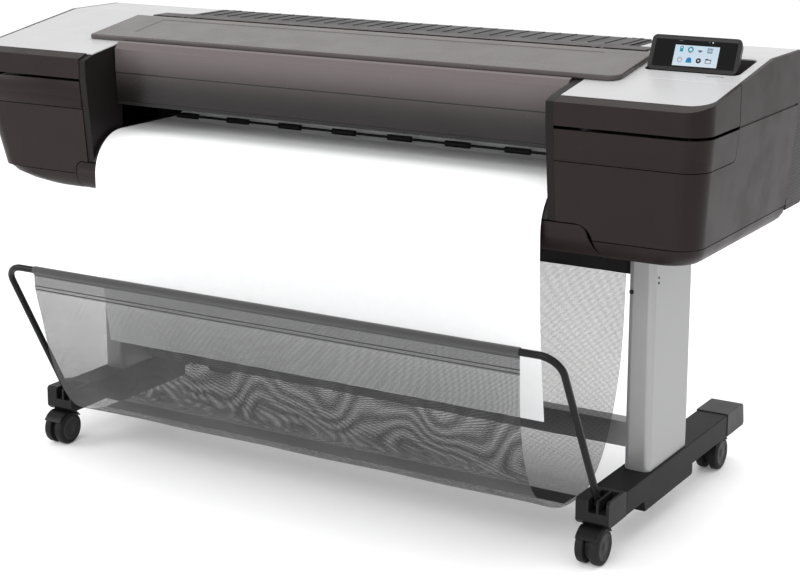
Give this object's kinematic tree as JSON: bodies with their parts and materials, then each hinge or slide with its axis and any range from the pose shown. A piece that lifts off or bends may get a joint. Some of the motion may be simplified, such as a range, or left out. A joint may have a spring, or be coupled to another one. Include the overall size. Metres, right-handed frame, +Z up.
{
  "type": "large format plotter",
  "caption": "Floor-standing large format roll plotter with touch panel, top lid, front window, wheeled T-foot stand and a fabric catch basket.",
  "frame": {"origin": "on the floor under the middle of the whole machine, basket to rear foot caps", "axes": "+X to the machine's right as seen from the front, +Y to the back, +Z up; the front faces -Y"},
  "size_m": [1.802, 0.9053, 1.0305],
  "materials": {
    "foot_black": "fine textured black paint",
    "cap_grey": "textured dark grey moulding",
    "column_silver": "satin silver grey paint",
    "beam_silver": "satin silver grey paint",
    "screw_black": "blackened steel",
    "caster_plastic": "moulded black nylon",
    "caster_tread": "black polyurethane",
    "tube_black": "gloss black paint",
    "basket_fabric": "open charcoal mesh",
    "batten_black": "flexible black strip",
    "rail_black": "matt black paint",
    "cover_brown": "fine spark-eroded texture, dark warm brown",
    "inner_black": "matt black moulding",
    "rear_mesh": "perforated dark moulding",
    "deck_white": "satin off-white",
    "window_brown": "smoked dark brown",
    "lid_brown": "satin warm grey brown",
    "cartridge_black": "moulded black",
    "sheet_steel": "zinc-plated sheet",
    "rail_chrome": "ground and polished",
    "carriage_plastic": "moulded dark grey",
    "belt_rubber": "toothed belt",
    "roller_rubber": "ground rubber",
    "spindle_blue": "moulded blue hubs",
    "paper_white": "uncoated bond",
    "bezel_black": "satin black brown",
    "screen_glass": "black cover glass",
    "key_silver": "satin key"
  },
  "bodies": {
    "root": {"foot_left": "foot_black", "foot_right": "foot_black", "front_caps": "foot_black", "rear_caps": "cap_grey", "column_left": "column_silver", "column_right": "column_silver", "cross_beam": "beam_silver", "stand_screws": "screw_black", "basket_mesh": "basket_fabric", "basket_batten": "batten_black", "basket_rail": "rail_black", "bottom_pan": "cover_brown", "side_cover_left": "cover_brown", "side_cover_right": "cover_brown", "fascia_left": "cover_brown", "fascia_right": "cover_brown", "deck_left": "deck_white", "deck_right": "deck_white", "cheek_left": "inner_black", "cheek_right": "inner_black", "front_skirt": "inner_black", "output_apron": "inner_black", "drawer_runners": "sheet_steel", "top_bridge": "cover_brown", "rear_top_cover": "cover_brown", "rear_cover": "rear_mesh", "frame_plates": "sheet_steel", "chassis_beam": "sheet_steel", "slider_rail": "rail_chrome", "drive_belt": "belt_rubber", "carriage_motor": "sheet_steel", "platen": "inner_black", "paper_sheet": "paper_white", "service_station": "inner_black", "power_unit": "sheet_steel"},
    "window": {"window": "window_brown"},
    "lid": {"top_lid": "lid_brown"},
    "table": {"loading_table": "inner_black"},
    "touch": {"touch_panel": "bezel_black", "touch_glass": "screen_glass"},
    "key": {"power_key": "key_silver"},
    "drawer_left": {"ink_drawer_left": "cover_brown", "ink_cartridges_left": "cartridge_black"},
    "drawer_right": {"ink_drawer_right": "cover_brown", "ink_cartridges_right": "cartridge_black"},
    "carriage": {"carriage": "carriage_plastic", "print_heads": "cartridge_black"},
    "feed_roller": {"drive_roller": "roller_rubber"},
    "pinch_shaft": {"pinch_rollers": "roller_rubber"},
    "media_roll": {"spindle": "spindle_blue", "paper_roll": "paper_white"},
    "basket_frame": {"basket_tube": "tube_black"},
    "fork_fl": {"caster_fork_fl": "caster_plastic"},
    "wheels_fl": {"caster_wheels_fl": "caster_tread"},
    "fork_fr": {"caster_fork_fr": "caster_plastic"},
    "wheels_fr": {"caster_wheels_fr": "caster_tread"},
    "fork_rl": {"caster_fork_rl": "caster_plastic"},
    "wheels_rl": {"caster_wheels_rl": "caster_tread"},
    "fork_rr": {"caster_fork_rr": "caster_plastic"},
    "wheels_rr": {"caster_wheels_rr": "caster_tread"}
  },
  "joints": [
    {"name": "window_hinge", "type": "hinge", "parent": "root", "child": "window", "pos_m": [0.005, -0.17535, 0.93931], "axis": [-1, 0, 0], "range_deg": [0, 65]},
    {"name": "lid_hinge", "type": "hinge", "parent": "root", "child": "lid", "pos_m": [0.005, 0.01765, 0.9785], "axis": [-1, 0, 0], "range_deg": [0, 75]},
    {"name": "table_hinge", "type": "hinge", "parent": "root", "child": "table", "pos_m": [0.005, 0.22665, 0.979], "axis": [-1, 0, 0], "range_deg": [0, 70]},
    {"name": "touch_tilt", "type": "hinge", "parent": "root", "child": "touch", "pos_m": [0.775, -0.05635, 0.95497], "axis": [1, 0, 0], "range_deg": [-50, 10]},
    {"name": "power_key_press", "type": "slide", "parent": "root", "child": "key", "axis": [0, 0, 1], "range_m": [-0.0015, 0], "stiffness_N_per_m": 400},
    {"name": "left_drawer_slide", "type": "slide", "parent": "root", "child": "drawer_left", "axis": [0, -1, 0], "range_m": [0, 0.09]},
    {"name": "right_drawer_slide", "type": "slide", "parent": "root", "child": "drawer_right", "axis": [0, -1, 0], "range_m": [0, 0.09]},
    {"name": "carriage_slide", "type": "slide", "parent": "root", "child": "carriage", "axis": [1, 0, 0], "range_m": [-1.49, 0.02]},
    {"name": "feed_roller_spin", "type": "hinge", "parent": "root", "child": "feed_roller", "pos_m": [0.005, -0.00635, 0.738], "axis": [1, 0, 0], "continuous": true, "deforming": ["paper_sheet"]},
    {"name": "pinch_shaft_spin", "type": "hinge", "parent": "root", "child": "pinch_shaft", "pos_m": [0.005, -0.00635, 0.7593], "axis": [1, 0, 0], "continuous": true},
    {"name": "media_roll_spin", "type": "hinge", "parent": "root", "child": "media_roll", "pos_m": [0.005, 0.15165, 0.88], "axis": [1, 0, 0], "continuous": true},
    {"name": "basket_hinge", "type": "hinge", "parent": "root", "child": "basket_frame", "pos_m": [0, -0.25635, 0.118], "axis": [1, 0, 0], "range_deg": [-16, 0], "deforming": ["basket_mesh"]},
    {"name": "swivel_fl", "type": "hinge", "parent": "root", "child": "fork_fl", "pos_m": [-0.689, -0.25335, 0.08], "axis": [0, 0, 1], "continuous": true},
    {"name": "roll_fl", "type": "hinge", "parent": "fork_fl", "child": "wheels_fl", "pos_m": [-0.689, -0.27735, 0.038], "axis": [1, 0, 0], "continuous": true},
    {"name": "swivel_fr", "type": "hinge", "parent": "root", "child": "fork_fr", "pos_m": [0.689, -0.25335, 0.08], "axis": [0, 0, 1], "continuous": true},
    {"name": "roll_fr", "type": "hinge", "parent": "fork_fr", "child": "wheels_fr", "pos_m": [0.689, -0.27735, 0.038], "axis": [1, 0, 0], "continuous": true},
    {"name": "swivel_rl", "type": "hinge", "parent": "root", "child": "fork_rl", "pos_m": [-0.689, 0.37665, 0.08], "axis": [0, 0, 1], "continuous": true},
    {"name": "roll_rl", "type": "hinge", "parent": "fork_rl", "child": "wheels_rl", "pos_m": [-0.689, 0.35265, 0.038], "axis": [1, 0, 0], "continuous": true},
    {"name": "swivel_rr", "type": "hinge", "parent": "root", "child": "fork_rr", "pos_m": [0.689, 0.37665, 0.08], "axis": [0, 0, 1], "continuous": true},
    {"name": "roll_rr", "type": "hinge", "parent": "fork_rr", "child": "wheels_rr", "pos_m": [0.689, 0.35265, 0.038], "axis": [1, 0, 0], "continuous": true}
  ],
  "couplings": [
    {"joint": "pinch_shaft_spin", "follows": "feed_roller_spin", "ratio": -2.1538}
  ]
}
